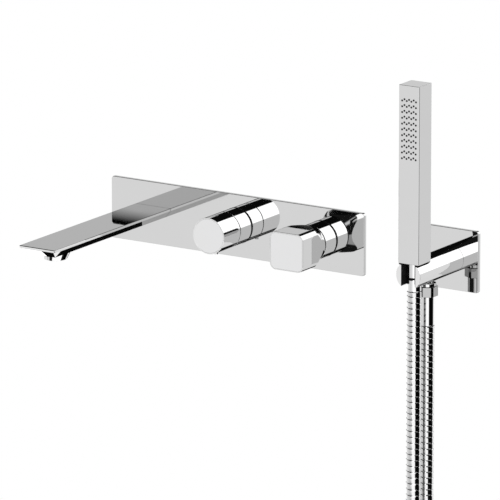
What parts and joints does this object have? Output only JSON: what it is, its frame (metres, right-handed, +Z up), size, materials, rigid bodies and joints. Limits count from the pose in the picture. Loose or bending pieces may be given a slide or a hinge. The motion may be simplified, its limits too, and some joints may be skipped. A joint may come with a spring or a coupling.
{
  "type": "wall mounted bath mixer with hand shower",
  "caption": "Concealed wall mounted bath mixer: flat blade spout, round diverter knob and square mixer handle on one plate, with a square stick hand shower on a fork holder and metal hose.",
  "frame": {"origin": "centre of the main cover plate's back, on the diverter's axis, in the face of the finished wall", "axes": "+X along the plate towards the hand-shower holder, -Y out of the wall, +Z up"},
  "size_m": [0.4861, 0.2575, 0.6891],
  "materials": {
    "chrome": "polished",
    "brass": "machined",
    "steel": "machined",
    "rubber": "matt",
    "silicone": "matt",
    "plastic": "matt",
    "cartridge_plastic": "matt"
  },
  "bodies": {
    "root": {"aerator_housing": "chrome", "aerator_insert": "plastic", "aerator_seal": "rubber", "arm_grub_screw": "steel", "check_valve": "plastic", "concealed_body": "brass", "cover_plate": "chrome", "diverter_cartridge": "cartridge_plastic", "diverter_collar": "chrome", "diverter_collar_ring": "rubber", "diverter_gland_nut": "steel", "diverter_glide_ring": "rubber", "fork_liner": "rubber", "holder_arm": "chrome", "holder_gasket": "rubber", "holder_plate": "chrome", "hose_ferrule": "chrome", "hose_nut": "chrome", "hose_nut_washer": "rubber", "hose_tie_left": "plastic", "hose_tie_right": "plastic", "mixer_cartridge": "cartridge_plastic", "mixer_collar": "chrome", "mixer_collar_ring": "rubber", "mixer_gland_nut": "steel", "mixer_glide_ring": "rubber", "outlet_collar": "chrome", "outlet_stub": "chrome", "plate_gasket": "rubber", "shower_hose": "chrome", "spout_body": "chrome", "spout_nipple": "brass", "spout_seal": "rubber", "wall_nipple": "brass"},
    "diverter": {"diverter_knob": "chrome", "diverter_cap": "chrome", "diverter_pin": "chrome", "diverter_screw": "steel", "diverter_spindle": "brass"},
    "mixer": {"mixer_handle": "chrome", "mixer_cap": "chrome", "mixer_grub_screw": "steel", "mixer_spindle": "brass"},
    "handset": {"handset_body": "chrome", "nozzle_mat": "silicone", "mat_retainer": "plastic", "handset_plug": "brass", "handset_connector": "chrome", "connector_sleeve": "chrome", "connector_washer": "rubber"},
    "hose_cone": {"hose_cone_nut": "chrome"}
  },
  "joints": [
    {"name": "mixer_turn", "type": "hinge", "parent": "root", "child": "mixer", "pos_m": [0.1, -0.03, 0], "axis": [0, -1, 0], "range_deg": [0, 100]},
    {"name": "diverter_turn", "type": "hinge", "parent": "root", "child": "diverter", "pos_m": [0, -0.03, 0], "axis": [0, -1, 0], "range_deg": [0, 90]},
    {"name": "handset_lift", "type": "slide", "parent": "root", "child": "handset", "axis": [0, 0, 1], "range_m": [0, 0.03]},
    {"name": "hose_swivel", "type": "hinge", "parent": "handset", "child": "hose_cone", "pos_m": [0.251, -0.074, -0.011], "axis": [0, 0, 1], "continuous": true}
  ]
}
